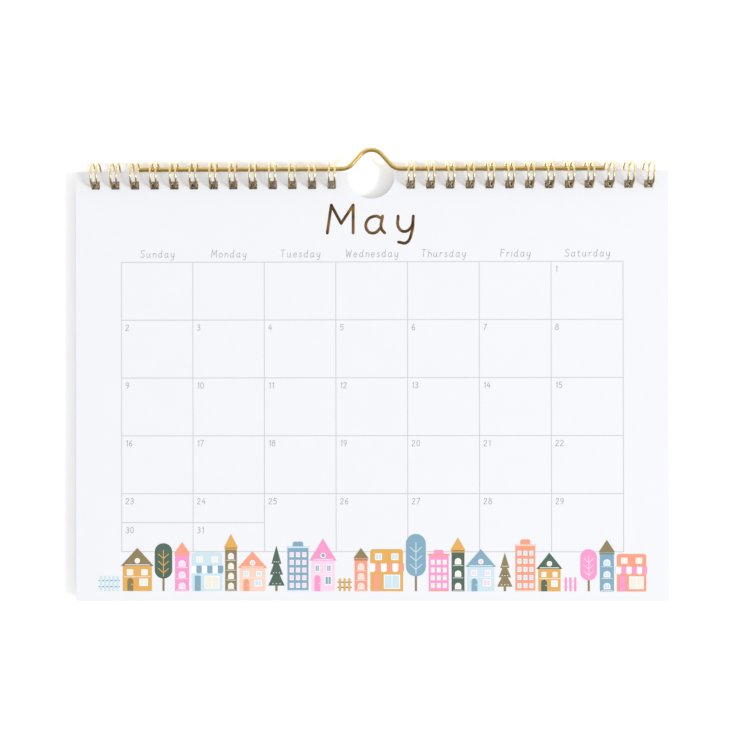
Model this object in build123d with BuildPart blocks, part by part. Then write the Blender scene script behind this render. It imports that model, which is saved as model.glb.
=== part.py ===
from build123d import *
import os
from math import atan2, cos, hypot, radians, sin, sqrt

# Landscape wall calendar on two lengths of twin-loop wire, with a wire hanger.
# Millimetres, +Z up, +X to the reader's right, and the printed side faces -Y.
# The origin is where the hanger sits on its nail: the underside of the hump's crown.

# Sheets
page_width = 254.0
page_height = 184.15
leaf_thickness = 0.2
month_leaf_count = 8
turned_leaf_count = 5
card_thickness = 0.5
stack_front = -0.3  # front face of the top leaf, from the loops' centre plane
turning_clearance = 0.08  # left between a turning leaf's top edge and its neighbour

# Punching along the top edge, three holes to the inch
hole_pitch = 25.4 / 3
side_margin = 5.0  # least distance from a sheet's side to the middle of its last hole
plain_positions = 3  # left unpunched in the middle, where the thumb cut is
hole_corner_radius = 0.3
hole_side_clearance = 0.2  # beside a loop's two strands
hole_top_clearance = 0.375  # above the wire, where it leaves the back of the last leaf
hole_foot_clearance = 0.6  # below the lowest point of the loops
thumb_radius = 10.0
thumb_drop = 1.6  # centre of the thumb cut, below the sheets' top edge

# Twin-loop wire
wire_diameter = 0.9
loop_radius = 5.15  # centreline
loop_drop = 1.2  # centre of the loops, below the sheets' top edge
strand_spacing = 2.4  # between the two strands of one loop
spine_bend_radius = 0.8
spine_stub = 1.2  # straight end of the spine, past the outermost loop
strand_start_angle = -9.0  # where a strand leaves the spine, above straight back
closing_angle = 28.0  # from there up to where the loop's tip begins

# Hanger
hanger_inset = 27.0  # from a sheet's side to the end of the hanger
hanger_wire_diameter = 2.0
hanger_end_round = 0.4
rod_gap = 0.28  # between the rod and the sheets' top edge
hump_foot = 10.0  # from the middle to the corner where the wire turns up
hump_peak = 11.1  # height at which the two slopes would meet
foot_bend_radius = 6.2
crown_bend_radius = 6.0

hanger_length = page_width - 2 * hanger_inset

# Heights that follow from the hump, whose crown has its underside at Z = 0
slope_angle = atan2(hump_peak, hump_foot)
crown_rise = hump_peak - crown_bend_radius * (1 / cos(slope_angle) - 1)
hanger_radius = hanger_wire_diameter / 2
rod_z = hanger_radius - crown_rise
sheet_top = rod_z - hanger_radius - rod_gap
loop_z = sheet_top - loop_drop
thumb_z = sheet_top - thumb_drop

# Depths of the stack. A block of leaves turns about the loops' centre line, so its top corner
# sweeps back by the distance hypot(face, loop_drop) before the next piece may start.
month_front = stack_front
month_rear = month_front + month_leaf_count * leaf_thickness
card_front = hypot(month_rear, loop_drop) + turning_clearance
card_rear = card_front + card_thickness
turned_front = hypot(card_rear, loop_drop) + turning_clearance
turned_rear = turned_front + turned_leaf_count * leaf_thickness

# Holes: wide enough for both strands, and from where the wire leaves the back of the last leaf
# down to the lowest point of the loops, each with its clearance
wire_radius = wire_diameter / 2
hole_width = strand_spacing + wire_diameter + 2 * hole_side_clearance
hole_top = loop_drop + sqrt((loop_radius - wire_radius) ** 2 - turned_rear**2) - hole_top_clearance
hole_foot = loop_drop + loop_radius + wire_radius + hole_foot_clearance
hole_height = hole_foot - hole_top
hole_z = sheet_top - (hole_top + hole_foot) / 2
first_hole = plain_positions // 2 + 1
holes_each_side = int((page_width / 2 - side_margin) / hole_pitch) + 1 - first_hole
right_numbers = range(first_hole, first_hole + holes_each_side)
left_numbers = range(-right_numbers[-1], -first_hole + 1)
hole_centres = [(n * hole_pitch, hole_z) for n in (*left_numbers, *right_numbers)]


def on_loop(x, angle, onward=0.0):
    """A point on a strand's circle at an angle above straight back, moved onward along its tangent."""
    turn = radians(angle)
    y = loop_radius * cos(turn) + onward * sin(turn)
    z = loop_z + loop_radius * sin(turn) - onward * cos(turn)
    return (x, y, z)


def draw_strand(x, from_angle, to_angle):
    """One strand of a loop, between the spine and the loop's tip."""
    middle_angle = (from_angle + to_angle) / 2
    ThreePointArc(on_loop(x, from_angle), on_loop(x, middle_angle), on_loop(x, to_angle))


def draw_spine_bend(strand_x, spine_side):
    """The quarter turn between a strand and the spine, which lies to one side of it."""
    middle = spine_bend_radius * sin(radians(45))
    spine_x = strand_x + spine_side * spine_bend_radius
    middle_x = spine_x - spine_side * middle
    ThreePointArc(
        on_loop(spine_x, strand_start_angle, -spine_bend_radius),
        on_loop(middle_x, strand_start_angle, -middle),
        on_loop(strand_x, strand_start_angle),
    )


def draw_wire(hole_numbers):
    """The whole bent wire: spine, then down one strand of each loop, round its tip and back."""
    half_spacing = strand_spacing / 2
    half_loop = half_spacing + spine_bend_radius
    tip_angle = strand_start_angle + closing_angle - 360
    first_x = hole_numbers[0] * hole_pitch - half_loop - spine_stub
    last_x = hole_numbers[-1] * hole_pitch + half_loop + spine_stub
    spine_x = first_x
    for number in hole_numbers:
        centre_x = number * hole_pitch
        left_x = centre_x - half_spacing
        right_x = centre_x + half_spacing
        Line(
            on_loop(spine_x, strand_start_angle, -spine_bend_radius),
            on_loop(centre_x - half_loop, strand_start_angle, -spine_bend_radius),
        )
        draw_spine_bend(left_x, -1)
        draw_strand(left_x, strand_start_angle, tip_angle)
        ThreePointArc(
            on_loop(left_x, tip_angle),
            on_loop(centre_x, tip_angle, half_spacing),
            on_loop(right_x, tip_angle),
        )
        draw_strand(right_x, tip_angle, strand_start_angle)
        draw_spine_bend(right_x, 1)
        spine_x = centre_x + half_loop
    Line(
        on_loop(spine_x, strand_start_angle, -spine_bend_radius),
        on_loop(last_x, strand_start_angle, -spine_bend_radius),
    )


# One outline for every sheet: the punched holes and the thumb cut line up through the stack
with BuildSketch() as sheet_outline:
    with Locations((0, sheet_top - page_height / 2)):
        Rectangle(page_width, page_height)
    with Locations(*hole_centres):
        RectangleRounded(hole_width, hole_height, hole_corner_radius, mode=Mode.SUBTRACT)
    with Locations((0, thumb_z)):
        Circle(thumb_radius, mode=Mode.SUBTRACT)

# The leaves still in use, as one block
with BuildPart() as month_leaves:
    with BuildSketch(Plane.XZ.offset(-month_rear)):
        add(sheet_outline.sketch)
    extrude(amount=month_rear - month_front)

# The stiff card at the back of the pad
with BuildPart() as back_card:
    with BuildSketch(Plane.XZ.offset(-card_rear)):
        add(sheet_outline.sketch)
    extrude(amount=card_rear - card_front)

# The cover and the past months, turned over behind the card
with BuildPart() as turned_leaves:
    with BuildSketch(Plane.XZ.offset(-turned_rear)):
        add(sheet_outline.sketch)
    extrude(amount=turned_rear - turned_front)

# Each length of binding is one wire, bent into double loops and closed round the sheets
with BuildPart() as wire_binding_left:
    with BuildLine() as left_path:
        draw_wire(left_numbers)
    with BuildSketch(Plane(origin=left_path.wire() @ 0, z_dir=left_path.wire() % 0)):
        Circle(wire_radius)
    sweep(path=left_path.wire())

with BuildPart() as wire_binding_right:
    with BuildLine() as right_path:
        draw_wire(right_numbers)
    with BuildSketch(Plane(origin=right_path.wire() @ 0, z_dir=right_path.wire() % 0)):
        Circle(wire_radius)
    sweep(path=right_path.wire())

# The hanger runs inside the loops, and its hump stands up in the gap between the two bindings
with BuildPart() as hanger:
    with BuildLine(Plane.XZ) as hanger_path:
        FilletPolyline(
            (-hanger_length / 2, rod_z),
            (-hump_foot, rod_z),
            (0, rod_z + hump_peak),
            (hump_foot, rod_z),
            (hanger_length / 2, rod_z),
            radius=(foot_bend_radius, crown_bend_radius, foot_bend_radius),
        )
    with BuildSketch(Plane(origin=hanger_path.wire() @ 0, z_dir=hanger_path.wire() % 0)):
        Circle(hanger_radius)
    sweep(path=hanger_path.wire())
    wire_ends = hanger.faces().filter_by(Axis.X)
    fillet(wire_ends.edges(), radius=hanger_end_round)

month_leaves.part.label = "month_leaves"
back_card.part.label = "back_card"
turned_leaves.part.label = "turned_leaves"
wire_binding_left.part.label = "wire_binding_left"
wire_binding_right.part.label = "wire_binding_right"
hanger.part.label = "hanger"

os.makedirs("parts", exist_ok=True)
export_step(month_leaves.part, "parts/month_leaves.step")
export_step(back_card.part, "parts/back_card.step")
export_step(turned_leaves.part, "parts/turned_leaves.step")
export_step(wire_binding_left.part, "parts/wire_binding_left.step")
export_step(wire_binding_right.part, "parts/wire_binding_right.step")
export_step(hanger.part, "parts/hanger.step")
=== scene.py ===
"""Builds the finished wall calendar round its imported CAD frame: leaves, print, wire, wall and light."""

import math

import bmesh
import bpy
from bpy.props import (
    FloatProperty,
    FloatVectorProperty,
    IntProperty,
    PointerProperty,
)
from mathutils import Matrix, Vector


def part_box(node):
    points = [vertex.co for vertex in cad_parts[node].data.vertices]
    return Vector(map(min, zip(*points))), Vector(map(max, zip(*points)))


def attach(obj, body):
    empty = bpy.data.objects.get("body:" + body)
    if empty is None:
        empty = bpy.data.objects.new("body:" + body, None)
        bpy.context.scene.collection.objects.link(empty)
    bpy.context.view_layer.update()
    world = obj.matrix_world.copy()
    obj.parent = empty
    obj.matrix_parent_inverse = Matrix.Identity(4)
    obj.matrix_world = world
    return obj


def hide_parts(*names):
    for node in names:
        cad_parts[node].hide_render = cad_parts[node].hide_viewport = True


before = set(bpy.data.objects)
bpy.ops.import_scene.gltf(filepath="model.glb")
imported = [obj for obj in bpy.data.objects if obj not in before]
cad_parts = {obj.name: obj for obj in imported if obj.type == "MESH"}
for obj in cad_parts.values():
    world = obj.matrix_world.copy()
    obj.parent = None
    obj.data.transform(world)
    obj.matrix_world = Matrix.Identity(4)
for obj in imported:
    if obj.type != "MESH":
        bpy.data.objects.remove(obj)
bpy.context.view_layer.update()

bl_info = {
    "name": "Wall Calendar",
    "version": (1, 0, 0),
    "blender": (4, 5, 0),
    "location": "View3D > Sidebar > Calendar",
    "description": "Leaves, print, wire and studio for a twin-loop wall calendar",
    "category": "Add Mesh",
}

MM = 0.001
MONTH_LOW, MONTH_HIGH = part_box("month_leaves")
TURNED_LOW, TURNED_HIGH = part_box("turned_leaves")
SHEET_TOP = MONTH_HIGH.z
SHEET_BOTTOM = MONTH_LOW.z
SHEET_WIDTH = MONTH_HIGH.x - MONTH_LOW.x
SHEET_HEIGHT = SHEET_TOP - SHEET_BOTTOM
BINDING_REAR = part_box("wire_binding_left")[1].y

FIRST_HOLE = 2                # the middle place and the next on each side stay whole for the thumb cut
HOLE_CORNER = 0.3 * MM        # radius of a hole's corners
LEAF_SHARE = 0.85             # share of a leaf's pitch that is paper, the rest is air
PRINT_GAP = 0.02 * MM         # from the page to the back of the ink, so that the two never meet
INK_DEPTH = 0.016 * MM
LAYER_STEP = 0.02 * MM        # between inks that lie on each other


def srgb(red, green, blue):
    """A colour written as 0 to 255 values, as the linear colour that shaders take."""
    def linear(value):
        share = value / 255
        return share / 12.92 if share <= 0.04045 else ((share + 0.055) / 1.055) ** 2.4

    return (linear(red), linear(green), linear(blue), 1.0)


# ---- Sizes and colours that a user would change


class CalendarSheets(bpy.types.PropertyGroup):
    """Sizes of the leaves and how they lie."""

    month_leaf_count: IntProperty(
        name="Month leaves", description="Leaves still in front of the card", default=8, min=1
    )
    turned_leaf_count: IntProperty(
        name="Turned leaves", description="Leaves turned over to the back", default=5, min=1
    )
    hole_pitch: FloatProperty(
        name="Hole pitch", description="Spacing of the punched holes", default=25.4 / 3 * MM,
        unit="LENGTH", precision=5,
    )
    holes_each_side: IntProperty(
        name="Holes each side", description="Punched holes on each side of the thumb cut", default=13
    )
    hole_size: FloatProperty(
        name="Hole size", description="Side of a square hole", default=3.7 * MM, unit="LENGTH"
    )
    hole_margin: FloatProperty(
        name="Hole margin", description="Sheet's top edge to the top of a hole", default=3.7 * MM,
        unit="LENGTH",
    )
    thumb_radius: FloatProperty(
        name="Thumb cut radius", description="Radius of the cut under the hump", default=10 * MM,
        unit="LENGTH",
    )
    thumb_drop: FloatProperty(
        name="Thumb cut drop", description="Centre of the thumb cut below the top edge",
        default=1.6 * MM, unit="LENGTH",
    )
    lift: FloatProperty(
        name="Lift", description="How far the top leaf's foot stands forward", default=0.7 * MM,
        unit="LENGTH",
    )
    paper: FloatVectorProperty(
        name="Paper", description="Colour of the leaves", subtype="COLOR", size=4,
        default=srgb(243, 244, 248), min=0, max=1,
    )
    card: FloatVectorProperty(
        name="Card", description="Colour of the back card", subtype="COLOR", size=4,
        default=srgb(226, 222, 212), min=0, max=1,
    )


class CalendarWire(bpy.types.PropertyGroup):
    """Colours of the binding and the hanger."""

    binding: FloatVectorProperty(
        name="Binding", description="Colour of the twin-loop wire", subtype="COLOR", size=4,
        default=srgb(236, 219, 174), min=0, max=1,
    )
    hanger: FloatVectorProperty(
        name="Hanger", description="Colour of the hanger wire", subtype="COLOR", size=4,
        default=srgb(222, 192, 122), min=0, max=1,
    )


class CalendarPrint(bpy.types.PropertyGroup):
    """Layout and inks of the month page."""

    grid_left: FloatProperty(
        name="Grid left", description="Left side of the month grid from the middle",
        default=-107.4 * MM, unit="LENGTH",
    )
    grid_width: FloatProperty(
        name="Grid width", description="Width of the seven columns", default=215.0 * MM, unit="LENGTH"
    )
    grid_drop: FloatProperty(
        name="Grid drop", description="Top line of the grid below the sheet's top edge",
        default=38.7 * MM, unit="LENGTH",
    )
    row_height: FloatProperty(
        name="Row height", description="Height of one week's row", default=24.85 * MM, unit="LENGTH"
    )
    line_width: FloatProperty(
        name="Line width", description="Width of the grid's lines", default=0.3 * MM, unit="LENGTH"
    )
    title_height: FloatProperty(
        name="Title height", description="Height of the title's capital", default=12.0 * MM,
        unit="LENGTH",
    )
    weekday_height: FloatProperty(
        name="Weekday height", description="Height of a weekday's capital", default=3.1 * MM,
        unit="LENGTH",
    )
    date_height: FloatProperty(
        name="Date height", description="Height of a date's figures", default=2.4 * MM, unit="LENGTH"
    )
    grey_ink: FloatVectorProperty(
        name="Grey ink", description="Colour of the grid's lines", subtype="COLOR", size=4,
        default=srgb(204, 204, 208), min=0, max=1,
    )
    text_ink: FloatVectorProperty(
        name="Text ink", description="Colour of the dates and weekday names", subtype="COLOR",
        size=4, default=srgb(176, 176, 180), min=0, max=1,
    )
    foil: FloatVectorProperty(
        name="Foil", description="Colour of the stamped title", subtype="COLOR", size=4,
        default=srgb(140, 104, 58), min=0, max=1,
    )


class CalendarStage(bpy.types.PropertyGroup):
    """Camera, wall and lamps."""

    distance: FloatProperty(
        name="Camera distance", description="From the camera to the top leaf", default=0.480,
        unit="LENGTH",
    )
    key_power: FloatProperty(
        name="Key lamp", description="Power of the lamp on the right", default=190.0, unit="POWER"
    )
    fill: FloatProperty(name="Fill", description="Strength of the room's own light", default=0.74)
    wall: FloatVectorProperty(
        name="Wall", description="Colour of the wall", subtype="COLOR", size=4,
        default=(0.9, 0.9, 0.9, 1.0), min=0, max=1,
    )
    wall_gain: FloatProperty(
        name="Wall gain", description="How much brighter the wall looks than it shines", default=1.47
    )


SETTING_GROUPS = {
    "calendar_sheets": CalendarSheets,
    "calendar_wire": CalendarWire,
    "calendar_print": CalendarPrint,
    "calendar_stage": CalendarStage,
}


def settings(name):
    """One of this file's groups of sizes and colours."""
    return getattr(bpy.context.scene, name)


# ---- Mesh helpers


def new_piece(name, mesh, materials, body):
    """A finished object at the origin that moves with a CAD body."""
    mesh.name = name
    piece = bpy.data.objects.new(name, mesh)
    bpy.context.scene.collection.objects.link(piece)
    for material in materials:
        mesh.materials.append(material)
    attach(piece, body)
    return piece


def mesh_from(bm, name):
    """A mesh with its faces outward, from a bmesh that is then freed."""
    bmesh.ops.recalc_face_normals(bm, faces=bm.faces)
    mesh = bpy.data.meshes.new(name)
    bm.to_mesh(mesh)
    bm.free()
    return mesh


def evaluated_mesh(data, modify=None):
    """The mesh of a curve or mesh data-block after its modifiers, with the helper object removed."""
    helper = bpy.data.objects.new("helper", data)
    bpy.context.scene.collection.objects.link(helper)
    if modify:
        modify(helper)
    bpy.context.view_layer.update()
    graph = bpy.context.evaluated_depsgraph_get()
    mesh = bpy.data.meshes.new_from_object(helper.evaluated_get(graph), depsgraph=graph)
    bpy.data.objects.remove(helper)
    return mesh


# ---- Shape of the leaves


# Shares of the lift at a leaf's foot
MIDDLE_LIFT = 0.55
LEFT_CURL, RIGHT_CURL = 0.6, 0.35     # what the corners add
WAVE = 0.16                   # a slow wave across the leaf
LIFT_LOSS = 0.7               # what the rearmost leaves lose

# Play of the leaves in the holes
HANG_DROP = 6 * MM            # the point that a leaf turns about, below its top edge
MONTH_TURN = 0.0021           # radians
TURNED_TURN = 0.002
LEAF_SLIDE = 0.1 * MM


def leaf_front(x, z, leaf=0):
    """Depth of a month leaf's printed face: flat at the binding, its foot a little forward."""
    sheets = settings("calendar_sheets")
    pitch = (MONTH_HIGH.y - MONTH_LOW.y) / sheets.month_leaf_count
    down = (SHEET_TOP - z) / SHEET_HEIGHT
    side = 2 * x / SHEET_WIDTH
    corner = abs(side) ** 3 * (LEFT_CURL if side < 0 else RIGHT_CURL)
    wave = WAVE * math.sin(3.1 * side + 0.8) * down
    ease = down * down * (MIDDLE_LIFT + corner + wave)
    share = 1 - LIFT_LOSS * leaf / sheets.month_leaf_count
    return MONTH_LOW.y + leaf * pitch - sheets.lift * ease * share


def sheet_blank():
    """One flat sheet with its holes and thumb cut, front face at y = 0 and the back behind it."""
    sheets = settings("calendar_sheets")
    thickness = LEAF_SHARE * (MONTH_HIGH.y - MONTH_LOW.y) / sheets.month_leaf_count
    bm = bmesh.new()
    bmesh.ops.create_grid(bm, x_segments=36, y_segments=26, size=0.5)
    bmesh.ops.scale(bm, verts=bm.verts, vec=(SHEET_WIDTH, SHEET_HEIGHT, 1))
    bmesh.ops.rotate(bm, verts=bm.verts, cent=(0, 0, 0), matrix=Matrix.Rotation(math.pi / 2, 3, "X"))
    bmesh.ops.translate(bm, verts=bm.verts, vec=(0, 0, (SHEET_TOP + SHEET_BOTTOM) / 2))
    top_side = bmesh.ops.extrude_face_region(bm, geom=bm.faces[:])
    moved = [item for item in top_side["geom"] if isinstance(item, bmesh.types.BMVert)]
    bmesh.ops.translate(bm, verts=moved, vec=(0, thickness, 0))
    blank = mesh_from(bm, "sheet_blank")

    cutter = bmesh.new()
    hole_z = SHEET_TOP - sheets.hole_margin - sheets.hole_size / 2
    for number in range(FIRST_HOLE, FIRST_HOLE + sheets.holes_each_side):
        for side in (-1, 1):
            cube = bmesh.ops.create_cube(cutter, size=sheets.hole_size)
            place = (side * number * sheets.hole_pitch, 0, hole_z)
            bmesh.ops.translate(cutter, verts=cube["verts"], vec=place)
    upright = [e for e in cutter.edges if abs(e.verts[0].co.y - e.verts[1].co.y) > 1e-4]
    bmesh.ops.bevel(
        cutter, geom=upright, offset=HOLE_CORNER, affect="EDGES", segments=2, profile=0.5, material=-1
    )
    bmesh.ops.create_cone(
        cutter, cap_ends=True, segments=96, radius1=sheets.thumb_radius,
        radius2=sheets.thumb_radius, depth=4 * MM,
        matrix=Matrix.Translation((0, 0, SHEET_TOP - sheets.thumb_drop))
        @ Matrix.Rotation(math.pi / 2, 4, "X"),
    )
    cutter_object = bpy.data.objects.new("cutter", mesh_from(cutter, "cutter"))
    bpy.context.scene.collection.objects.link(cutter_object)

    def punch(helper):
        cut = helper.modifiers.new("punch", "BOOLEAN")
        cut.operation = "DIFFERENCE"
        cut.solver = "EXACT"
        cut.object = cutter_object

    punched = evaluated_mesh(blank, punch)
    bpy.data.objects.remove(cutter_object)
    return punched


def hang(mesh, turn, shift):
    """Turns a sheet a little about the middle of its top edge, as play in the holes lets it."""
    pivot = Vector((0, 0, SHEET_TOP - HANG_DROP))
    spin = Matrix.Rotation(turn, 4, "Y")
    mesh.transform(
        Matrix.Translation((shift, 0, 0)) @ Matrix.Translation(pivot) @ spin @ Matrix.Translation(-pivot)
    )


# ---- Shader groups


def new_group(name, inputs, outputs):
    """An empty shader group with float inputs (name to default) and float or colour outputs."""
    group = bpy.data.node_groups.new(name, "ShaderNodeTree")
    for label, default in inputs.items():
        socket = group.interface.new_socket(label, in_out="INPUT", socket_type="NodeSocketFloat")
        socket.default_value = default
    for label, kind in outputs.items():
        group.interface.new_socket(label, in_out="OUTPUT", socket_type=kind)
    return group, group.nodes.new("NodeGroupInput"), group.nodes.new("NodeGroupOutput")


def add_node(tree, kind, **values):
    """A node with its properties set, and with inputs given by name in a dictionary called inputs."""
    inputs = values.pop("inputs", {})
    node = tree.nodes.new(kind)
    for label, value in values.items():
        setattr(node, label, value)
    for label, value in inputs.items():
        if isinstance(value, bpy.types.NodeSocket):
            tree.links.new(value, node.inputs[label])
        else:
            node.inputs[label].default_value = value
    return node


def reckon(tree, operation, first, second):
    """The output of a Math node on two sockets or values."""
    return add_node(tree, "ShaderNodeMath", operation=operation, inputs={0: first, 1: second}).outputs[0]


def fibre_group():
    """Paper fibre: fine tooth, longer fibres and a faint cloudiness of the pulp."""
    group, given, out = new_group(
        "PaperFibre", {"Tooth": 1.0, "Cloud": 1.0},
        {"Shade": "NodeSocketFloat", "Height": "NodeSocketFloat"},
    )
    place = add_node(group, "ShaderNodeTexCoord").outputs["Object"]
    tooth = add_node(group, "ShaderNodeTexNoise",
                     inputs={"Vector": place, "Scale": 5200.0, "Detail": 2.0, "Roughness": 0.6})
    stretched = add_node(group, "ShaderNodeMapping", inputs={"Vector": place, "Scale": (1.0, 1.0, 0.25)})
    fibre = add_node(group, "ShaderNodeTexNoise",
                     inputs={"Vector": stretched.outputs[0], "Scale": 1900.0, "Detail": 3.0,
                             "Roughness": 0.7, "Distortion": 0.6})
    cloud = add_node(group, "ShaderNodeTexNoise",
                     inputs={"Vector": place, "Scale": 95.0, "Detail": 3.0, "Roughness": 0.5})
    fine = reckon(group, "ADD", tooth.outputs[0], fibre.outputs[0])
    height = reckon(group, "MULTIPLY", fine, given.outputs["Tooth"])
    cloud_share = reckon(group, "MULTIPLY", cloud.outputs[0], given.outputs["Cloud"])
    fine_share = reckon(group, "MULTIPLY", fine, 0.25)
    shade = reckon(group, "ADD", cloud_share, fine_share)
    group.links.new(shade, out.inputs["Shade"])
    group.links.new(height, out.inputs["Height"])
    return group


def drawn_wire_group():
    """Drawn and plated wire: faint draw lines along X, tarnish specks and a varying polish."""
    group, given, out = new_group(
        "DrawnWire", {"Lines": 1.0, "Specks": 1.0},
        {"Polish": "NodeSocketFloat", "Tarnish": "NodeSocketFloat", "Height": "NodeSocketFloat"},
    )
    place = add_node(group, "ShaderNodeTexCoord").outputs["Object"]
    along = add_node(group, "ShaderNodeMapping", inputs={"Vector": place, "Scale": (0.06, 1.0, 1.0)})
    lines = add_node(group, "ShaderNodeTexNoise",
                     inputs={"Vector": along.outputs[0], "Scale": 5200.0, "Detail": 2.0})
    patches = add_node(group, "ShaderNodeTexNoise",
                       inputs={"Vector": place, "Scale": 420.0, "Detail": 4.0, "Roughness": 0.62})
    specks = add_node(group, "ShaderNodeTexVoronoi",
                      inputs={"Vector": place, "Scale": 900.0, "Randomness": 1.0})
    small = add_node(group, "ShaderNodeMapRange",
                     inputs={"Value": specks.outputs["Distance"], "From Min": 0.05, "From Max": 0.22,
                             "To Min": 1.0, "To Max": 0.0})
    speckled = reckon(group, "MULTIPLY", small.outputs[0], given.outputs["Specks"])
    blotch = add_node(group, "ShaderNodeMapRange",
                      inputs={"Value": patches.outputs[0], "From Min": 0.48, "From Max": 0.75})
    tarnish = reckon(group, "MAXIMUM", speckled, blotch.outputs[0])
    height = reckon(group, "MULTIPLY", lines.outputs[0], given.outputs["Lines"])
    group.links.new(patches.outputs[0], out.inputs["Polish"])
    group.links.new(tarnish, out.inputs["Tarnish"])
    group.links.new(height, out.inputs["Height"])
    return group


def shared_group(name, build):
    """The group of that name, built once."""
    return bpy.data.node_groups.get(name) or build()


def group_node(tree, name, build, **inputs):
    """A shared group placed in a material with this material's own values."""
    node = tree.nodes.new("ShaderNodeGroup")
    node.node_tree = shared_group(name, build)
    for label, value in inputs.items():
        node.inputs[label].default_value = value
    return node


# ---- Materials


def empty_material(name):
    """A material with a Principled shader, its tree and that shader."""
    material = bpy.data.materials.new(name)
    material.use_nodes = True
    tree = material.node_tree
    return material, tree, tree.nodes["Principled BSDF"]


def shaded(tree, factor, low, high):
    """A colour that goes from low to high with a factor."""
    mix = add_node(tree, "ShaderNodeMix", data_type="RGBA")
    tree.links.new(factor, mix.inputs["Factor"])
    mix.inputs["A"].default_value = low
    mix.inputs["B"].default_value = high
    return mix.outputs["Result"]


def darker(colour, share):
    """A colour with that share of its light."""
    return (colour[0] * share, colour[1] * share, colour[2] * share, 1.0)


def vary_roughness(tree, shader, value, low, high, start=0.0, end=1.0):
    """Roughness from low to high as a value goes from start to end."""
    rough = add_node(tree, "ShaderNodeMapRange",
                     inputs={"Value": value, "From Min": start, "From Max": end, "To Min": low,
                             "To Max": high})
    tree.links.new(rough.outputs[0], shader.inputs["Roughness"])


def add_relief(tree, shader, height, strength, depth=0.02 * MM):
    """A bump of that depth on the shader."""
    relief = add_node(tree, "ShaderNodeBump",
                      inputs={"Strength": strength, "Distance": depth, "Height": height})
    tree.links.new(relief.outputs[0], shader.inputs["Normal"])


def paper_material(name, colour, spread, bump, roughness):
    """Uncoated sheet: fibre in the colour, the surface and the gloss."""
    material, tree, shader = empty_material(name)
    fibre = group_node(tree, "PaperFibre", fibre_group, Tooth=1.0, Cloud=1.0)
    low, high = darker(colour, 1 - spread), darker(colour, min(1.0, 1 + 0.4 * spread))
    tree.links.new(shaded(tree, fibre.outputs["Shade"], low, high), shader.inputs["Base Color"])
    vary_roughness(tree, shader, fibre.outputs["Shade"], roughness - 0.06, roughness + 0.06)
    add_relief(tree, shader, fibre.outputs["Height"], bump)
    shader.inputs["Specular IOR Level"].default_value = 0.25
    return material


# Painted shade: a dull brown that the binding wire's colour turns to below the top of the holes, standing
# in for the shadow inside them, faded in over the distance below.
PAINTED_HOLE_SHADE = srgb(172, 142, 90)
PAINTED_SHADE_FADE = 1.6 * MM


def wire_material(name, colour, roughness, lines, shade_level=None):
    """Gold-coloured plated wire. Below the shade level its colour turns to a dull brown: painted shade
    where the wire runs into the holes.
    """
    material, tree, shader = empty_material(name)
    wear = group_node(tree, "DrawnWire", drawn_wire_group, Lines=lines, Specks=0.5)
    tint = shaded(tree, wear.outputs["Tarnish"], tuple(colour), darker(colour, 0.72))
    if shade_level is not None:
        # painted shade: the wire's colour darkens to brown below the holes' top, where it runs into them
        place = add_node(tree, "ShaderNodeTexCoord").outputs["Object"]
        axes = add_node(tree, "ShaderNodeSeparateXYZ", inputs={0: place})
        painted_shade = add_node(tree, "ShaderNodeMapRange", interpolation_type="SMOOTHSTEP",
                        inputs={"Value": axes.outputs["Z"], "From Min": shade_level,
                                "From Max": shade_level - PAINTED_SHADE_FADE})
        mix = add_node(tree, "ShaderNodeMix", data_type="RGBA", inputs={"Factor": painted_shade.outputs[0]})
        tree.links.new(tint, mix.inputs["A"])
        mix.inputs["B"].default_value = PAINTED_HOLE_SHADE
        tint = mix.outputs["Result"]
    tree.links.new(tint, shader.inputs["Base Color"])
    vary_roughness(tree, shader, wear.outputs["Polish"], roughness - 0.06, roughness + 0.1, 0.3, 0.7)
    add_relief(tree, shader, wear.outputs["Height"], 0.25, 0.01 * MM)
    shader.inputs["Metallic"].default_value = 1.0
    return material


def ink_material(name, colour):
    """Printed ink that sinks into the paper: a little paper shows through its colour."""
    material, tree, shader = empty_material(name)
    fibre = group_node(tree, "PaperFibre", fibre_group, Tooth=1.0, Cloud=0.6)
    thin = tuple(value + (1 - value) * 0.1 for value in colour[:3]) + (1.0,)
    tint = shaded(tree, fibre.outputs["Shade"], tuple(colour), thin)
    tree.links.new(tint, shader.inputs["Base Color"])
    add_relief(tree, shader, fibre.outputs["Height"], 0.2)
    shader.inputs["Roughness"].default_value = 0.62
    shader.inputs["Specular IOR Level"].default_value = 0.2
    return material


def foil_material(name, colour):
    """Hot-stamped foil: a thin bright metal that keeps the paper's tooth, its colour lighter and darker
    in soft patches as painted sheen.
    """
    material, tree, shader = empty_material(name)
    fibre = group_node(tree, "PaperFibre", fibre_group, Tooth=1.0, Cloud=1.0)
    place = add_node(tree, "ShaderNodeTexCoord").outputs["Object"]
    # painted sheen: noise patches lighten and darken the foil's colour, standing in for the light it
    # reflects
    painted_sheen = add_node(tree, "ShaderNodeTexNoise", inputs={"Vector": place, "Scale": 170.0, "Detail": 1.0})
    painted_sheen_patches = add_node(tree, "ShaderNodeMapRange", interpolation_type="SMOOTHSTEP",
                    inputs={"Value": painted_sheen.outputs[0], "From Min": 0.35, "From Max": 0.65})
    tree.links.new(shaded(tree, painted_sheen_patches.outputs[0], darker(colour, 0.45), darker(colour, 1.15)),
                   shader.inputs["Base Color"])
    vary_roughness(tree, shader, fibre.outputs["Shade"], 0.24, 0.42)
    add_relief(tree, shader, fibre.outputs["Height"], 0.35)
    shader.inputs["Metallic"].default_value = 1.0
    return material
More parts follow.
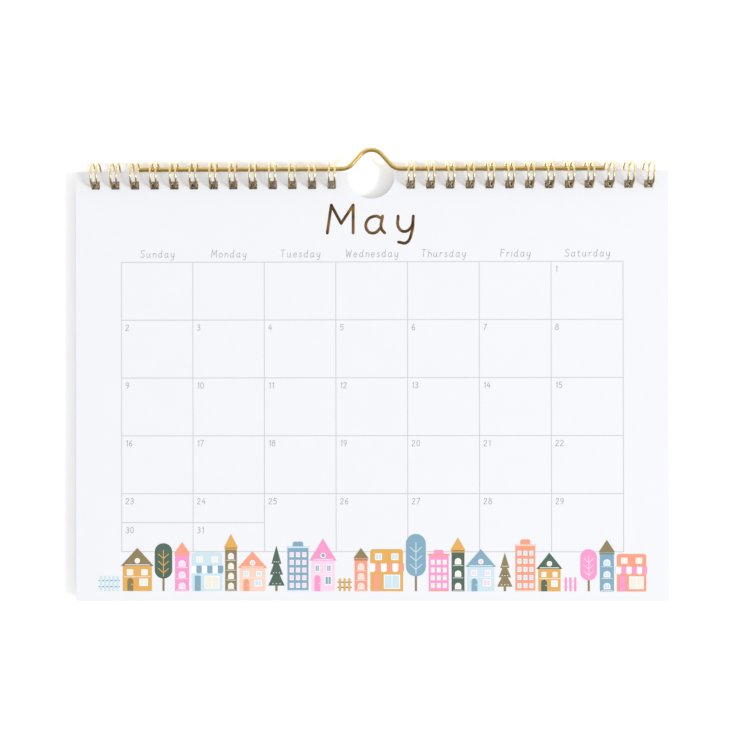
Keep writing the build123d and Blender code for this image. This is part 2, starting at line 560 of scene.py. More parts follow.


# ---- Lettering: strokes of one width

# A capital is 1 high and a small letter 0.6. A stroke that ends where it starts is a ring.
BOWL = [(0.42, 0.52), (0.26, 0.6), (0.05, 0.42), (0.08, 0.08), (0.25, 0), (0.42, 0.2)]
ARCH = [(0.04, 0.33), (0.2, 0.58), (0.38, 0.5), (0.4, 0)]
LETTERS = {
    "0": [[(0.27, 1), (0, 0.5), (0.27, 0), (0.54, 0.5), (0.27, 1)]],
    "1": [[(0.1, 0.82), (0.28, 1)], [(0.28, 1), (0.28, 0)]],
    "2": [[(0.03, 0.78), (0.12, 0.95), (0.3, 1), (0.48, 0.85), (0.42, 0.6), (0.2, 0.3), (0.02, 0.02)],
          [(0.02, 0), (0.54, 0)]],
    "3": [[(0.05, 0.92), (0.28, 1), (0.46, 0.8), (0.33, 0.58), (0.2, 0.54)],
          [(0.2, 0.54), (0.42, 0.48), (0.5, 0.25), (0.3, 0), (0.03, 0.1)]],
    "4": [[(0.36, 1), (0.02, 0.36)], [(0.02, 0.36), (0.56, 0.36)], [(0.42, 0.6), (0.42, 0)]],
    "5": [[(0.5, 1), (0.1, 1)], [(0.1, 1), (0.07, 0.58)],
          [(0.07, 0.58), (0.28, 0.64), (0.5, 0.48), (0.48, 0.15), (0.26, 0), (0.03, 0.08)]],
    "6": [[(0.42, 1), (0.16, 0.72), (0.03, 0.35), (0.14, 0.05), (0.32, 0), (0.5, 0.15), (0.48, 0.42),
           (0.28, 0.52), (0.08, 0.38)]],
    "7": [[(0.02, 1), (0.52, 1)], [(0.52, 1), (0.3, 0.5), (0.18, 0)]],
    "8": [[(0.27, 0.56), (0.07, 0.78), (0.27, 1), (0.47, 0.78), (0.27, 0.56)],
          [(0.27, 0.56), (0.02, 0.27), (0.27, 0), (0.52, 0.27), (0.27, 0.56)]],
    "9": [[(0.47, 0.62), (0.26, 0.48), (0.06, 0.62), (0.08, 0.9), (0.28, 1), (0.47, 0.85), (0.48, 0.6),
           (0.4, 0.25), (0.2, 0)]],
    "S": [[(0.5, 0.88), (0.3, 1), (0.07, 0.85), (0.14, 0.6), (0.38, 0.45), (0.5, 0.22), (0.28, 0),
           (0.02, 0.12)]],
    "M": [[(0.02, 0), (0.08, 1)], [(0.08, 1), (0.36, 0.34)], [(0.36, 0.34), (0.64, 1)],
          [(0.64, 1), (0.68, 0)]],
    "T": [[(0, 1), (0.56, 1)], [(0.28, 1), (0.28, 0)]],
    "W": [[(0, 1), (0.18, 0)], [(0.18, 0), (0.36, 0.75)], [(0.36, 0.75), (0.54, 0)],
          [(0.54, 0), (0.72, 1)]],
    "F": [[(0.04, 0), (0.04, 1)], [(0.04, 1), (0.5, 1)], [(0.04, 0.55), (0.4, 0.55)]],
    "a": [BOWL, [(0.44, 0.6), (0.43, 0.15), (0.52, 0)]],
    "d": [BOWL, [(0.44, 1), (0.44, 0.12), (0.52, 0)]],
    "e": [[(0.04, 0.32), (0.42, 0.36), (0.36, 0.55), (0.2, 0.6), (0.03, 0.35), (0.1, 0.05), (0.28, 0),
           (0.44, 0.12)]],
    "h": [[(0.04, 1), (0.04, 0)], ARCH],
    "i": [[(0.04, 0.6), (0.04, 0)], [(0.04, 0.84), (0.04, 0.87)]],
    "n": [[(0.04, 0.6), (0.04, 0)], ARCH],
    "o": [[(0.24, 0.6), (0.02, 0.3), (0.24, 0), (0.46, 0.3), (0.24, 0.6)]],
    "r": [[(0.04, 0.6), (0.04, 0)], [(0.04, 0.32), (0.16, 0.55), (0.32, 0.56)]],
    "s": [[(0.34, 0.52), (0.18, 0.6), (0.05, 0.47), (0.18, 0.32), (0.34, 0.2), (0.2, 0), (0.02, 0.08)]],
    "t": [[(0.14, 0.85), (0.13, 0.15), (0.22, 0), (0.34, 0.05)], [(0, 0.6), (0.3, 0.6)]],
    "u": [[(0.03, 0.6), (0.04, 0.15), (0.18, 0), (0.38, 0.15), (0.41, 0.6)],
          [(0.41, 0.6), (0.42, 0.12), (0.5, 0)]],
    "y": [[(0.03, 0.6), (0.06, 0.2), (0.2, 0.05), (0.38, 0.2), (0.42, 0.6)],
          [(0.42, 0.6), (0.4, 0), (0.28, -0.35), (0.08, -0.33)]],
}


def word_width(word, gap, stretch):
    """Width of a word whose capital is 1 high."""
    reach = [max(point[0] for stroke in LETTERS[letter] for point in stroke) for letter in word]
    return sum(reach) * stretch + gap * (len(word) - 1)


def word_strokes(word, left, base, height, gap=0.3, stretch=1.0, slant=0.0):
    """The strokes of a word as lists of points on the page."""
    strokes = []
    pen = 0.0
    for letter in word:
        for stroke in LETTERS[letter]:
            strokes.append([
                (left + (pen + stretch * u + slant * v) * height, base + v * height) for u, v in stroke
            ])
        pen += word_width(letter, gap, stretch) + gap
    return strokes


def strokes_mesh(strokes, width, resolution):
    """Flat inked strokes with round ends, laid on the top leaf."""
    curve = bpy.data.curves.new("strokes", "CURVE")
    curve.dimensions = "3D"
    curve.twist_mode = "Z_UP"
    curve.resolution_u = resolution
    curve.bevel_depth = width / 2
    curve.bevel_resolution = 1
    curve.use_fill_caps = True
    ends = []
    for stroke in strokes:
        ring = stroke[0] == stroke[-1]
        points = stroke[:-1] if ring else stroke
        spline = curve.splines.new("BEZIER")
        spline.use_cyclic_u = ring
        spline.bezier_points.add(len(points) - 1)
        for knot, (u, v) in zip(spline.bezier_points, points):
            knot.co = (u, v, 0)
            knot.handle_left_type = "AUTO"
            knot.handle_right_type = "AUTO"
        if not ring:
            ends += [stroke[0], stroke[-1]]
    tubes = evaluated_mesh(curve)
    bm = bmesh.new()
    bm.from_mesh(tubes)
    bmesh.ops.scale(bm, verts=bm.verts, vec=(1, 1, INK_DEPTH / width))
    for u, v in ends:
        bmesh.ops.create_cone(
            bm, cap_ends=True, segments=12, radius1=width / 2, radius2=width / 2,
            depth=0.9 * INK_DEPTH, matrix=Matrix.Translation((u, v, 0)),
        )
    bmesh.ops.rotate(bm, verts=bm.verts, cent=(0, 0, 0), matrix=Matrix.Rotation(math.pi / 2, 3, "X"))
    bpy.data.meshes.remove(tubes)
    bpy.data.curves.remove(curve)
    return lay_on_page(bm)


def lay_on_page(bm):
    """Moves print drawn round y = 0 onto the curved face of the top leaf, and makes it a mesh."""
    for vert in bm.verts:
        vert.co.y += leaf_front(vert.co.x, vert.co.z) - PRINT_GAP - INK_DEPTH / 2
    return mesh_from(bm, "print")


# ---- Printed shapes

PALETTE = {
    "mustard": (232, 172, 72),
    "pink": (250, 150, 205),
    "light_pink": (249, 216, 236),
    "coral": (249, 158, 124),
    "peach": (252, 212, 192),
    "blue": (124, 168, 192),
    "light_blue": (206, 231, 240),
    "olive": (138, 120, 72),
    "dark_green": (58, 92, 74),
    "cream": (245, 239, 226),
    "white": (252, 252, 254),
}
INK_ORDER = list(PALETTE)


def patch(page, ink, layer, x, z, width, height, peak=False, crown=0.0, foot=0.0, tilt=0.0):
    """A flat printed shape on its foot at x, z in millimetres from the page's lower middle.

    A peak brings its top to a point; crown and foot are the radii of its upper and lower corners.
    """
    bm = bmesh.new()
    bmesh.ops.create_cube(bm, size=1)
    bmesh.ops.scale(bm, verts=bm.verts, vec=(width * MM, INK_DEPTH, height * MM))
    bmesh.ops.translate(bm, verts=bm.verts, vec=(0, 0, height / 2 * MM))
    if peak:
        for side in (-1, 1):
            pair = [v for v in bm.verts if v.co.z > height / 2 * MM and v.co.y * side > 0]
            bmesh.ops.pointmerge(bm, verts=pair, merge_co=(0, side * INK_DEPTH / 2, height * MM))
    largest = 0.49 * min(width, height)
    for radius, level in ((crown, height * MM), (foot, 0)):
        if radius:
            corners = [
                edge for edge in bm.edges
                if all(abs(v.co.z - level) < 1e-7 for v in edge.verts)
                and abs(edge.verts[0].co.x - edge.verts[1].co.x) < 1e-7
            ]
            bmesh.ops.bevel(
                bm, geom=corners, offset=min(radius, largest) * MM, affect="EDGES", segments=5,
                profile=0.5, material=-1,
            )
    for face in bm.faces:
        face.material_index = INK_ORDER.index(ink)
    bmesh.ops.rotate(bm, verts=bm.verts, cent=(0, 0, 0), matrix=Matrix.Rotation(tilt, 3, "Y"))
    place = (x * MM, -layer * LAYER_STEP, SHEET_BOTTOM + z * MM)
    bmesh.ops.translate(bm, verts=bm.verts, vec=place)
    shape = bpy.data.meshes.new("patch")
    bm.to_mesh(shape)
    bm.free()
    page.from_mesh(shape)
    bpy.data.meshes.remove(shape)


def line_slab(bm, x_low, x_high, z_low, z_high, layer=0):
    """A printed rule between two corners on the page."""
    made = bmesh.ops.create_cube(bm, size=1)["verts"]
    bmesh.ops.scale(bm, verts=made, vec=(x_high - x_low, INK_DEPTH, z_high - z_low))
    middle = ((x_low + x_high) / 2, -layer * LAYER_STEP, (z_low + z_high) / 2)
    bmesh.ops.translate(bm, verts=made, vec=middle)


def slice_print(bm, step):
    """Cuts long print across at even steps, so that it can follow the page."""
    for axis, low, high in ((0, -SHEET_WIDTH / 2, SHEET_WIDTH / 2), (2, SHEET_BOTTOM, SHEET_TOP)):
        normal = Vector((axis == 0, 0, axis == 2))
        for number in range(1, int((high - low) / step)):
            cut = Vector((0, 0, 0))
            cut[axis] = low + number * step
            bmesh.ops.bisect_plane(
                bm, geom=bm.verts[:] + bm.edges[:] + bm.faces[:], plane_co=cut, plane_no=normal
            )


# ---- The street along the foot of the page, in millimetres from its lower middle

GROUND = 4.3


def window(page, x, z, width, height, pane, crown=0.0):
    """A window with a white frame."""
    patch(page, "white", 3, x, z, width, height, crown=crown)
    patch(page, pane, 4, x, z + 0.4, width - 0.8, height - 0.8, crown=max(0.0, crown - 0.4))
    patch(page, "white", 5, x, z + 0.4, 0.25, height - 0.8)


def draw_house(page, x, width, height, wall, roof, pane):
    """A gabled house with a door, windows and a round light in the gable."""
    eaves = 0.58 * height
    patch(page, wall, 1, x, GROUND, width, eaves + 0.3)
    patch(page, roof, 2, x, GROUND + eaves, width + 1.6, height - eaves, peak=True)
    patch(page, "white", 3, x, GROUND + eaves + 0.35, 0.86 * width, 0.3)
    patch(page, "white", 3, x, GROUND + eaves + 1.1, 2.3, 2.3, crown=1.15, foot=1.15)
    patch(page, pane, 4, x, GROUND + eaves + 1.5, 1.5, 1.5, crown=0.75, foot=0.75)
    patch(page, roof, 3, x - 0.24 * width, GROUND, 2.5, 0.52 * eaves, crown=1.25)
    patch(page, "cream", 4, x - 0.24 * width + 0.7, GROUND + 0.24 * eaves, 0.4, 0.4)
    window(page, x + 0.22 * width, GROUND + 0.2 * eaves, 0.3 * width, 0.3 * eaves, pane)
    for side in (-0.25, 0.25):
        window(page, x + side * width, GROUND + 0.63 * eaves, 0.22 * width, 0.24 * eaves, pane)
    patch(page, "white", 3, x, GROUND + 0.56 * eaves, 0.92 * width, 0.22)


def draw_tower(page, x, width, height, wall, roof, pane):
    """A narrow tower with one column of arched windows under a steep roof."""
    eaves = 0.76 * height
    patch(page, wall, 1, x, GROUND, width, eaves)
    patch(page, roof, 2, x, GROUND + eaves, width + 1.0, height - eaves, peak=True)
    patch(page, roof, 2, x, GROUND + eaves - 0.9, width + 0.5, 0.5)
    storeys = int(eaves / 4.4)
    for storey in range(storeys):
        base = GROUND + 0.9 + storey * (eaves - 1.6) / storeys
        window(page, x, base, 0.5 * width, 2.7, pane, crown=0.24 * width)
        patch(page, "white", 3, x, base - 0.55, 0.8 * width, 0.2)


def draw_flats(page, x, width, height, wall, band, pane):
    """A flat-roofed house with a stepped top and rows of small windows."""
    patch(page, wall, 1, x, GROUND, width, 0.9 * height)
    patch(page, band, 2, x, GROUND + 0.9 * height, width + 0.8, 0.7)
    patch(page, wall, 1, x, GROUND + 0.9 * height + 0.7, 0.5 * width, 0.1 * height, crown=0.8)
    patch(page, band, 2, x, GROUND, width, 0.5)
    rows = int(height / 4)
    for row in range(rows):
        base = GROUND + 1.4 + row * (0.9 * height - 2.0) / rows
        for column in (-0.3, 0, 0.3):
            patch(page, "white", 3, x + column * width, base, 0.2 * width, 2.1)
            patch(page, pane, 4, x + column * width, base + 0.3, 0.2 * width - 0.6, 1.5)


def draw_shop(page, x, width, height, wall, band, pane):
    """A shop with a striped awning over its window."""
    patch(page, wall, 1, x, GROUND, width, height, crown=1.2)
    stripes = 6
    for stripe in range(stripes):
        ink = band if stripe % 2 else "white"
        place = x + (stripe - (stripes - 1) / 2) * (width + 0.8) / stripes
        base, drop = GROUND + 0.46 * height, 0.2 * height
        patch(page, ink, 4, place, base, (width + 0.8) / stripes, drop, foot=0.8)
    window(page, x + 0.16 * width, GROUND + 1.0, 0.5 * width, 0.34 * height, pane)
    patch(page, band, 3, x - 0.31 * width, GROUND, 0.2 * width, 0.4 * height)
    for side in (-0.25, 0.25):
        window(page, x + side * width, GROUND + 0.74 * height, 0.22 * width, 0.16 * height, pane)


def draw_tree(page, x, width, height, leaf, vein):
    """A round-headed tree with its branches drawn in the crown."""
    patch(page, "olive", 1, x, GROUND, 0.9, 0.5 * height)
    base, bend = GROUND + 0.26 * height, width / 2
    patch(page, leaf, 2, x, base, width, 0.74 * height, crown=bend, foot=bend)
    patch(page, vein, 3, x, GROUND + 0.3 * height, 0.35, 0.56 * height)
    for branch in range(3):
        base = GROUND + (0.38 + 0.15 * branch) * height
        for side in (-1, 1):
            patch(page, vein, 3, x, base, 0.35, 0.4 * width, tilt=side * 0.85)


def draw_fir(page, x, width, height, leaf, vein):
    """A fir in three tiers."""
    patch(page, "olive", 1, x, GROUND, 1.0, 0.2 * height)
    for tier in range(3):
        share = 1 - 0.2 * tier
        base = GROUND + (0.12 + 0.24 * tier) * height
        patch(page, leaf, 2, x, base, width * share, 0.4 * height, peak=True)
        for side in (-0.22, 0, 0.22):
            patch(page, vein, 3, x + side * width * share, base + 0.6, 0.5, 0.5, crown=0.25, foot=0.25)


def draw_fence(page, x, width, height, post, rail):
    """A low picket fence."""
    pickets = max(3, int(width / 1.7))
    for picket in range(pickets):
        place = x + (picket - (pickets - 1) / 2) * width / pickets
        patch(page, post, 2, place, GROUND, 0.9, height, crown=0.45)
    for level in (0.25, 0.65):
        patch(page, rail, 1, x, GROUND + level * height, width, 0.5)


STREET = (
    (draw_fence, 9.0, 6.5, "light_blue", "blue"),
    (draw_house, 12.5, 18.5, "mustard", "olive", "cream"),
    (draw_tree, 7.5, 20.5, "dark_green", "mustard"),
    (draw_tower, 6.0, 21.0, "pink", "coral", "light_pink"),
    (draw_shop, 13.0, 16.5, "light_blue", "blue", "cream"),
    (draw_tower, 5.0, 24.5, "olive", "mustard", "cream"),
    (draw_house, 11.0, 17.0, "peach", "coral", "light_blue"),
    (draw_fir, 7.0, 19.5, "dark_green", "light_blue"),
    (draw_flats, 9.0, 20.5, "blue", "light_blue", "light_pink"),
    (draw_house, 10.0, 22.5, "light_pink", "pink", "blue"),
    (draw_fence, 6.0, 5.5, "mustard", "olive"),
    (draw_tower, 5.5, 18.5, "coral", "olive", "peach"),
    (draw_shop, 14.0, 18.0, "mustard", "coral", "light_blue"),
    (draw_tree, 8.5, 24.5, "blue", "light_blue"),
    (draw_flats, 8.5, 17.0, "pink", "coral", "cream"),
    (draw_tower, 5.5, 23.0, "dark_green", "mustard", "cream"),
    (draw_house, 11.5, 18.0, "light_blue", "blue", "light_pink"),
    (draw_fir, 6.5, 16.5, "olive", "cream"),
    (draw_flats, 8.5, 21.5, "coral", "peach", "light_blue"),
    (draw_house, 9.5, 16.5, "mustard", "dark_green", "cream"),
    (draw_fence, 6.0, 6.0, "pink", "light_pink"),
    (draw_tree, 7.0, 18.0, "pink", "light_pink"),
    (draw_tower, 6.0, 22.0, "blue", "olive", "light_blue"),
    (draw_shop, 12.5, 16.0, "coral", "pink", "cream"),
)
STREET_WIDTH = 234.4


# ---- Operators


def cad_object(node):
    """The shown object of a CAD node."""
    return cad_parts[node]


def finish_cad(node, material):
    """Gives a CAD node its material, in every slot it has."""
    slots = cad_object(node).material_slots
    if not slots:
        raise RuntimeError("no material slot on " + node)
    for holder in slots:
        holder.material = material


class CALENDAR_OT_wire(bpy.types.Operator):
    """Finishes the two bindings and the hanger as gold-coloured wire"""

    bl_idname = "calendar.wire"
    bl_label = "Binding and hanger"

    def execute(self, context):
        wire = settings("calendar_wire")
        hole_level = SHEET_TOP - settings("calendar_sheets").hole_margin
        # the binding gets painted shade below the top of the holes
        binding = wire_material("binding_wire_gold", wire.binding, 0.24, 0.6, hole_level)
        finish_cad("wire_binding_left", binding)
        finish_cad("wire_binding_right", binding)
        finish_cad("hanger", wire_material("hanger_wire_gold", wire.hanger, 0.3, 1.0))
        return {"FINISHED"}


class CALENDAR_OT_card(bpy.types.Operator):
    """Finishes the card at the back of the pad as pale grey board"""

    bl_idname = "calendar.card"
    bl_label = "Back card"

    def execute(self, context):
        board = paper_material("back_board", settings("calendar_sheets").card, 0.1, 0.5, 0.75)
        finish_cad("back_card", board)
        return {"FINISHED"}


class CALENDAR_OT_leaves(bpy.types.Operator):
    """Makes the leaves in front of the card and those turned over behind it"""

    bl_idname = "calendar.leaves"
    bl_label = "Leaves"

    def execute(self, context):
        sheets = settings("calendar_sheets")
        paper = paper_material("leaf_paper", sheets.paper, 0.02, 0.25, 0.6)
        blank = sheet_blank()
        for number in range(sheets.month_leaf_count):
            mesh = blank.copy()
            if number:
                turn = MONTH_TURN * math.sin(2.3 * number + 0.4)
                hang(mesh, turn, LEAF_SLIDE * math.cos(1.7 * number))
            for vert in mesh.vertices:
                vert.co.y += leaf_front(vert.co.x, vert.co.z, number)
            leaf = new_piece(f"month_leaf_{number + 1}", mesh, [paper], "month_leaves")
            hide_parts("month_leaves")
        pitch = (TURNED_HIGH.y - TURNED_LOW.y) / sheets.turned_leaf_count
        for number in range(sheets.turned_leaf_count):
            mesh = blank.copy()
            turn = TURNED_TURN * math.sin(2.9 * number + 2.0)
            hang(mesh, turn, LEAF_SLIDE * math.cos(2.1 * number))
            for vert in mesh.vertices:
                vert.co.y += TURNED_LOW.y + number * pitch
            leaf = new_piece(f"turned_leaf_{number + 1}", mesh, [paper], "turned_leaves")
            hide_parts("turned_leaves")
        bpy.data.meshes.remove(blank)
        return {"FINISHED"}


DAYS = ("Sunday", "Monday", "Tuesday", "Wednesday", "Thursday", "Friday", "Saturday")
FIRST_COLUMN = 6              # column of the month's first day
MONTH_DAYS = 31
WEEK_ROWS = 5
TITLE_SHIFT = -0.8 * MM       # middle of the title from the page's middle
TITLE_RISE = 12.4 * MM        # foot of the title above the grid
TITLE_STROKE = 1.25 * MM
WEEKDAY_RISE = 2.1 * MM       # foot of a weekday above the grid
WEEKDAY_STROKE = 0.26 * MM
DATE_INSET = 1.8 * MM         # from a cell's left line
DATE_DROP = 2.0 * MM          # from a cell's top line
DATE_STROKE = 0.28 * MM


class CALENDAR_OT_grid(bpy.types.Operator):
    """Prints the month's grid, with the half row that the last two days need"""

    bl_idname = "calendar.grid"
    bl_label = "Month grid"

    def execute(self, context):
        layout = settings("calendar_print")
        half = layout.line_width / 2
        left, right = layout.grid_left, layout.grid_left + layout.grid_width
        top = SHEET_TOP - layout.grid_drop
        bottom = top - WEEK_ROWS * layout.row_height
        column = layout.grid_width / len(DAYS)
        bm = bmesh.new()
        for number in range(len(DAYS) + 1):
            x = left + number * column
            line_slab(bm, x - half, x + half, bottom - half, top + half)
        for number in range(WEEK_ROWS + 1):
            z = top - number * layout.row_height
            line_slab(bm, left - half, right + half, z - half, z + half, layer=0.5)
        z = bottom + layout.row_height / 2
        line_slab(bm, left - half, left + 2 * column + half, z - half, z + half, layer=0.5)
        slice_print(bm, 8 * MM)
        ink = ink_material("grid_grey", layout.grey_ink)
        new_piece("grid_lines", lay_on_page(bm), [ink], "month_leaves")
        return {"FINISHED"}


class CALENDAR_OT_lettering(bpy.types.Operator):
    """Letters the title, the weekdays and the dates"""

    bl_idname = "calendar.lettering"
    bl_label = "Lettering"

    def execute(self, context):
        layout = settings("calendar_print")
        top = SHEET_TOP - layout.grid_drop
        column = layout.grid_width / len(DAYS)

        height = layout.title_height
        gap, stretch = 0.4, 1.4
        width = word_width("May", gap, stretch) * height
        left = TITLE_SHIFT - width / 2
        strokes = word_strokes("May", left, top + TITLE_RISE, height, gap, stretch, slant=0.06)
        foil = foil_material("stamped_foil", layout.foil)
        new_piece("title", strokes_mesh(strokes, TITLE_STROKE, 16), [foil], "month_leaves")

        ink = ink_material("lettering_grey", layout.text_ink)
        height = layout.weekday_height
        gap, stretch = 0.33, 1.05
        strokes = []
        for number, name in enumerate(DAYS):
            width = word_width(name, gap, stretch) * height
            left = layout.grid_left + (number + 0.5) * column - width / 2
            strokes += word_strokes(name, left, top + WEEKDAY_RISE, height, gap, stretch, slant=0.1)
        new_piece("weekday_names", strokes_mesh(strokes, WEEKDAY_STROKE, 5), [ink], "month_leaves")

        height = layout.date_height
        strokes = []
        for day in range(1, MONTH_DAYS + 1):
            row, place = divmod(day - 1 + FIRST_COLUMN, len(DAYS))
            drop = row * layout.row_height
            if row == WEEK_ROWS:        # the last days share the last row
                drop -= layout.row_height / 2
            left = layout.grid_left + place * column + DATE_INSET
            base = top - drop - DATE_DROP - height
            strokes += word_strokes(str(day), left, base, height, slant=0.05)
        new_piece("dates", strokes_mesh(strokes, DATE_STROKE, 5), [ink], "month_leaves")
        return {"FINISHED"}


class CALENDAR_OT_border(bpy.types.Operator):
    """Prints a street of small houses, towers and trees along the foot of the page"""

    bl_idname = "calendar.border"
    bl_label = "Border"

    def execute(self, context):
        page = bmesh.new()
        gap = (STREET_WIDTH - sum(item[1] for item in STREET)) / (len(STREET) - 1)
        x = -STREET_WIDTH / 2
        for draw, width, height, *inks in STREET:
            draw(page, x + width / 2, width, height, *inks)
            x += width + gap
        inks = [ink_material("print_" + name, srgb(*PALETTE[name])) for name in INK_ORDER]
        new_piece("border", lay_on_page(page), inks, "month_leaves")
        return {"FINISHED"}


class CALENDAR_OT_stage(bpy.types.Operator):
    """Sets up the wall, the lamps, the room's light and the camera"""

    bl_idname = "calendar.stage"
    bl_label = "Wall, light and camera"

    def execute(self, context):
        stage = settings("calendar_stage")
        make_wall(stage)
        make_world(stage.fill)
        make_lamp("key_lamp", KEY_PLACE, KEY_SIZE, stage.key_power)
        make_lamp("rear_lamp", REAR_PLACE, REAR_SIZE, REAR_SHARE * stage.key_power)
        make_camera(stage.distance)
        context.scene.view_settings.view_transform = "Standard"
        return {"FINISHED"}


# ---- Stage


WALL_GAP = 0.5 * MM           # from the back of the loops to the wall
WALL_REACH = 1.2              # from the wall's middle to its sides
KEY_PLACE = (4.7, -4.1, -1.2)     # from the middle of the page: to the right and in front
KEY_SIZE = 1.9
REAR_PLACE = (-3.2, 5.2, 0.8)     # behind the wall, for the back of the calendar
REAR_SIZE = 2.4
REAR_SHARE = 2.4              # of the key lamp's power
CAMERA_LENS = 53.7            # millimetres, on a sensor 36 wide
CAMERA_SHIFT = 0.062
CAMERA_SIDE = -12.75 * MM     # from the page's middle
CAMERA_DROP = 87.2 * MM       # below the sheet's top edge
CAMERA_YAW = math.radians(0.68)
CAMERA_ROLL = math.radians(-0.085)


def seen_directly(tree, path):
    """1 for a ray from the camera, a mirror or glass, so that what lies behind shows as white."""
    seen = path.outputs["Is Camera Ray"]
    for kind in ("Is Glossy Ray", "Is Transmission Ray"):
        seen = reckon(tree, "MAXIMUM", seen, path.outputs[kind])
    return seen


def make_wall(stage):
    """The wall that the calendar hangs on, seen only from the room's side.

    Light reaches the back of the calendar through it, but doesn't fill the gap in front of it.
    """
    colour = stage.wall
    bm = bmesh.new()
    bmesh.ops.create_grid(bm, x_segments=1, y_segments=1, size=WALL_REACH)
    bmesh.ops.rotate(bm, verts=bm.verts, cent=(0, 0, 0), matrix=Matrix.Rotation(math.pi / 2, 3, "X"))
    bmesh.ops.translate(bm, verts=bm.verts, vec=(0, BINDING_REAR + WALL_GAP, SHEET_BOTTOM / 2))
    mesh = bpy.data.meshes.new("wall")
    bm.to_mesh(mesh)
    bm.free()
    wall = bpy.data.objects.new("wall", mesh)
    bpy.context.scene.collection.objects.link(wall)

    material = bpy.data.materials.new("wall_paint")
    material.use_nodes = True
    tree = material.node_tree
    tree.nodes.clear()
    path = add_node(tree, "ShaderNodeLightPath")
    seen = seen_directly(tree, path)
    paint = add_node(tree, "ShaderNodeBsdfDiffuse")
    lit = shaded(tree, seen, tuple(colour), darker(colour, stage.wall_gain))
    tree.links.new(lit, paint.inputs["Color"])
    side = add_node(tree, "ShaderNodeNewGeometry")
    first = reckon(tree, "LESS_THAN", path.outputs["Diffuse Depth"], 0.5)
    passing = reckon(tree, "MULTIPLY", path.outputs["Is Shadow Ray"], first)
    open_way = reckon(tree, "MAXIMUM", side.outputs["Backfacing"], passing)
    clear = add_node(tree, "ShaderNodeBsdfTransparent")
    mix = add_node(tree, "ShaderNodeMixShader")
    tree.links.new(open_way, mix.inputs[0])
    tree.links.new(paint.outputs[0], mix.inputs[1])
    tree.links.new(clear.outputs[0], mix.inputs[2])
    out = add_node(tree, "ShaderNodeOutputMaterial")
    tree.links.new(mix.outputs[0], out.inputs["Surface"])
    mesh.materials.append(material)


def make_world(fill):
    """Even room light, with white behind everything that is seen or mirrored."""
    world = bpy.data.worlds.new("room")
    bpy.context.scene.world = world
    world.use_nodes = True
    tree = world.node_tree
    tree.nodes.clear()
    path = add_node(tree, "ShaderNodeLightPath")
    room = add_node(tree, "ShaderNodeBackground", inputs={"Color": (1, 1, 1, 1), "Strength": fill})
    white = add_node(tree, "ShaderNodeBackground", inputs={"Color": (1, 1, 1, 1)})
    way = add_node(tree, "ShaderNodeTexCoord").outputs["Generated"]
    rise = add_node(tree, "ShaderNodeSeparateXYZ", inputs={0: way})
    sky = add_node(tree, "ShaderNodeMapRange", interpolation_type="SMOOTHSTEP",
                   inputs={"Value": rise.outputs["Z"], "From Min": -0.75, "From Max": 0.55,
                           "To Min": 0.22, "To Max": 1.0})
    mirrored = add_node(tree, "ShaderNodeMix", data_type="FLOAT",
                        inputs={"Factor": path.outputs["Is Glossy Ray"]})
    mirrored.inputs["A"].default_value = 1.0
    tree.links.new(sky.outputs[0], mirrored.inputs["B"])
    tree.links.new(mirrored.outputs["Result"], white.inputs["Strength"])
    mix = add_node(tree, "ShaderNodeMixShader")
    tree.links.new(seen_directly(tree, path), mix.inputs[0])
    tree.links.new(room.outputs[0], mix.inputs[1])
    tree.links.new(white.outputs[0], mix.inputs[2])
    out = add_node(tree, "ShaderNodeOutputWorld")
    tree.links.new(mix.outputs[0], out.inputs["Surface"])


def make_lamp(name, place, size, power):
    """A square area lamp that faces the middle of the page."""
    lamp = bpy.data.lights.new(name, "AREA")
    lamp.size = size
    lamp.energy = power
    holder = bpy.data.objects.new(name, lamp)
    bpy.context.scene.collection.objects.link(holder)
    target = Vector((0, 0, (SHEET_TOP + SHEET_BOTTOM) / 2))
    holder.location = target + Vector(place)
    holder.rotation_mode = "QUATERNION"
    holder.rotation_quaternion = (target - holder.location).to_track_quat("-Z", "Y")


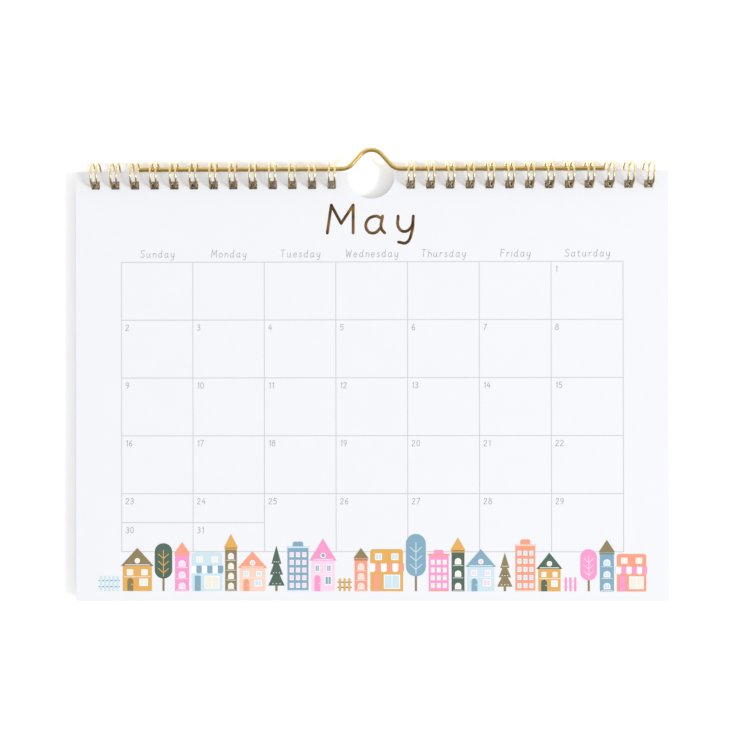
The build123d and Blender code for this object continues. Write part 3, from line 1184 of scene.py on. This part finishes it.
def make_camera(distance):
    """A camera square to the page, a little to the left of its middle."""
    data = bpy.data.cameras.new("camera")
    data.sensor_width = 36
    data.lens = CAMERA_LENS
    data.shift_x = CAMERA_SHIFT
    camera = bpy.data.objects.new("camera", data)
    bpy.context.scene.collection.objects.link(camera)
    place = Matrix.Translation((CAMERA_SIDE, MONTH_LOW.y - distance, SHEET_TOP - CAMERA_DROP))
    yaw = Matrix.Rotation(CAMERA_YAW, 4, "Z")
    level = Matrix.Rotation(math.radians(90), 4, "X")
    roll = Matrix.Rotation(CAMERA_ROLL, 4, "Z")
    camera.matrix_world = place @ yaw @ level @ roll
    bpy.context.scene.camera = camera


class CALENDAR_PT_panel(bpy.types.Panel):
    """Lists what builds the calendar and its settings"""

    bl_idname = "CALENDAR_PT_panel"
    bl_label = "Wall Calendar"
    bl_space_type = "VIEW_3D"
    bl_region_type = "UI"
    bl_category = "Calendar"

    def draw(self, context):
        for operator in OPERATORS:
            self.layout.operator(operator.bl_idname)
        for name, group in SETTING_GROUPS.items():
            box = self.layout.box()
            for item in group.__annotations__:
                box.prop(getattr(context.scene, name), item)


OPERATORS = (
    CALENDAR_OT_wire,
    CALENDAR_OT_card,
    CALENDAR_OT_leaves,
    CALENDAR_OT_grid,
    CALENDAR_OT_lettering,
    CALENDAR_OT_border,
    CALENDAR_OT_stage,
)
CLASSES = (*SETTING_GROUPS.values(), *OPERATORS, CALENDAR_PT_panel)


def register():
    for item in CLASSES:
        bpy.utils.register_class(item)
    for name, group in SETTING_GROUPS.items():
        setattr(bpy.types.Scene, name, PointerProperty(type=group))


def unregister():
    for name in SETTING_GROUPS:
        delattr(bpy.types.Scene, name)
    for item in reversed(CLASSES):
        bpy.utils.unregister_class(item)


def main():
    """Builds everything in order."""
    register()
    bpy.ops.calendar.wire()
    bpy.ops.calendar.card()
    bpy.ops.calendar.leaves()
    bpy.ops.calendar.grid()
    bpy.ops.calendar.lettering()
    bpy.ops.calendar.border()
    bpy.ops.calendar.stage()


if __name__ == "__main__":
    main()
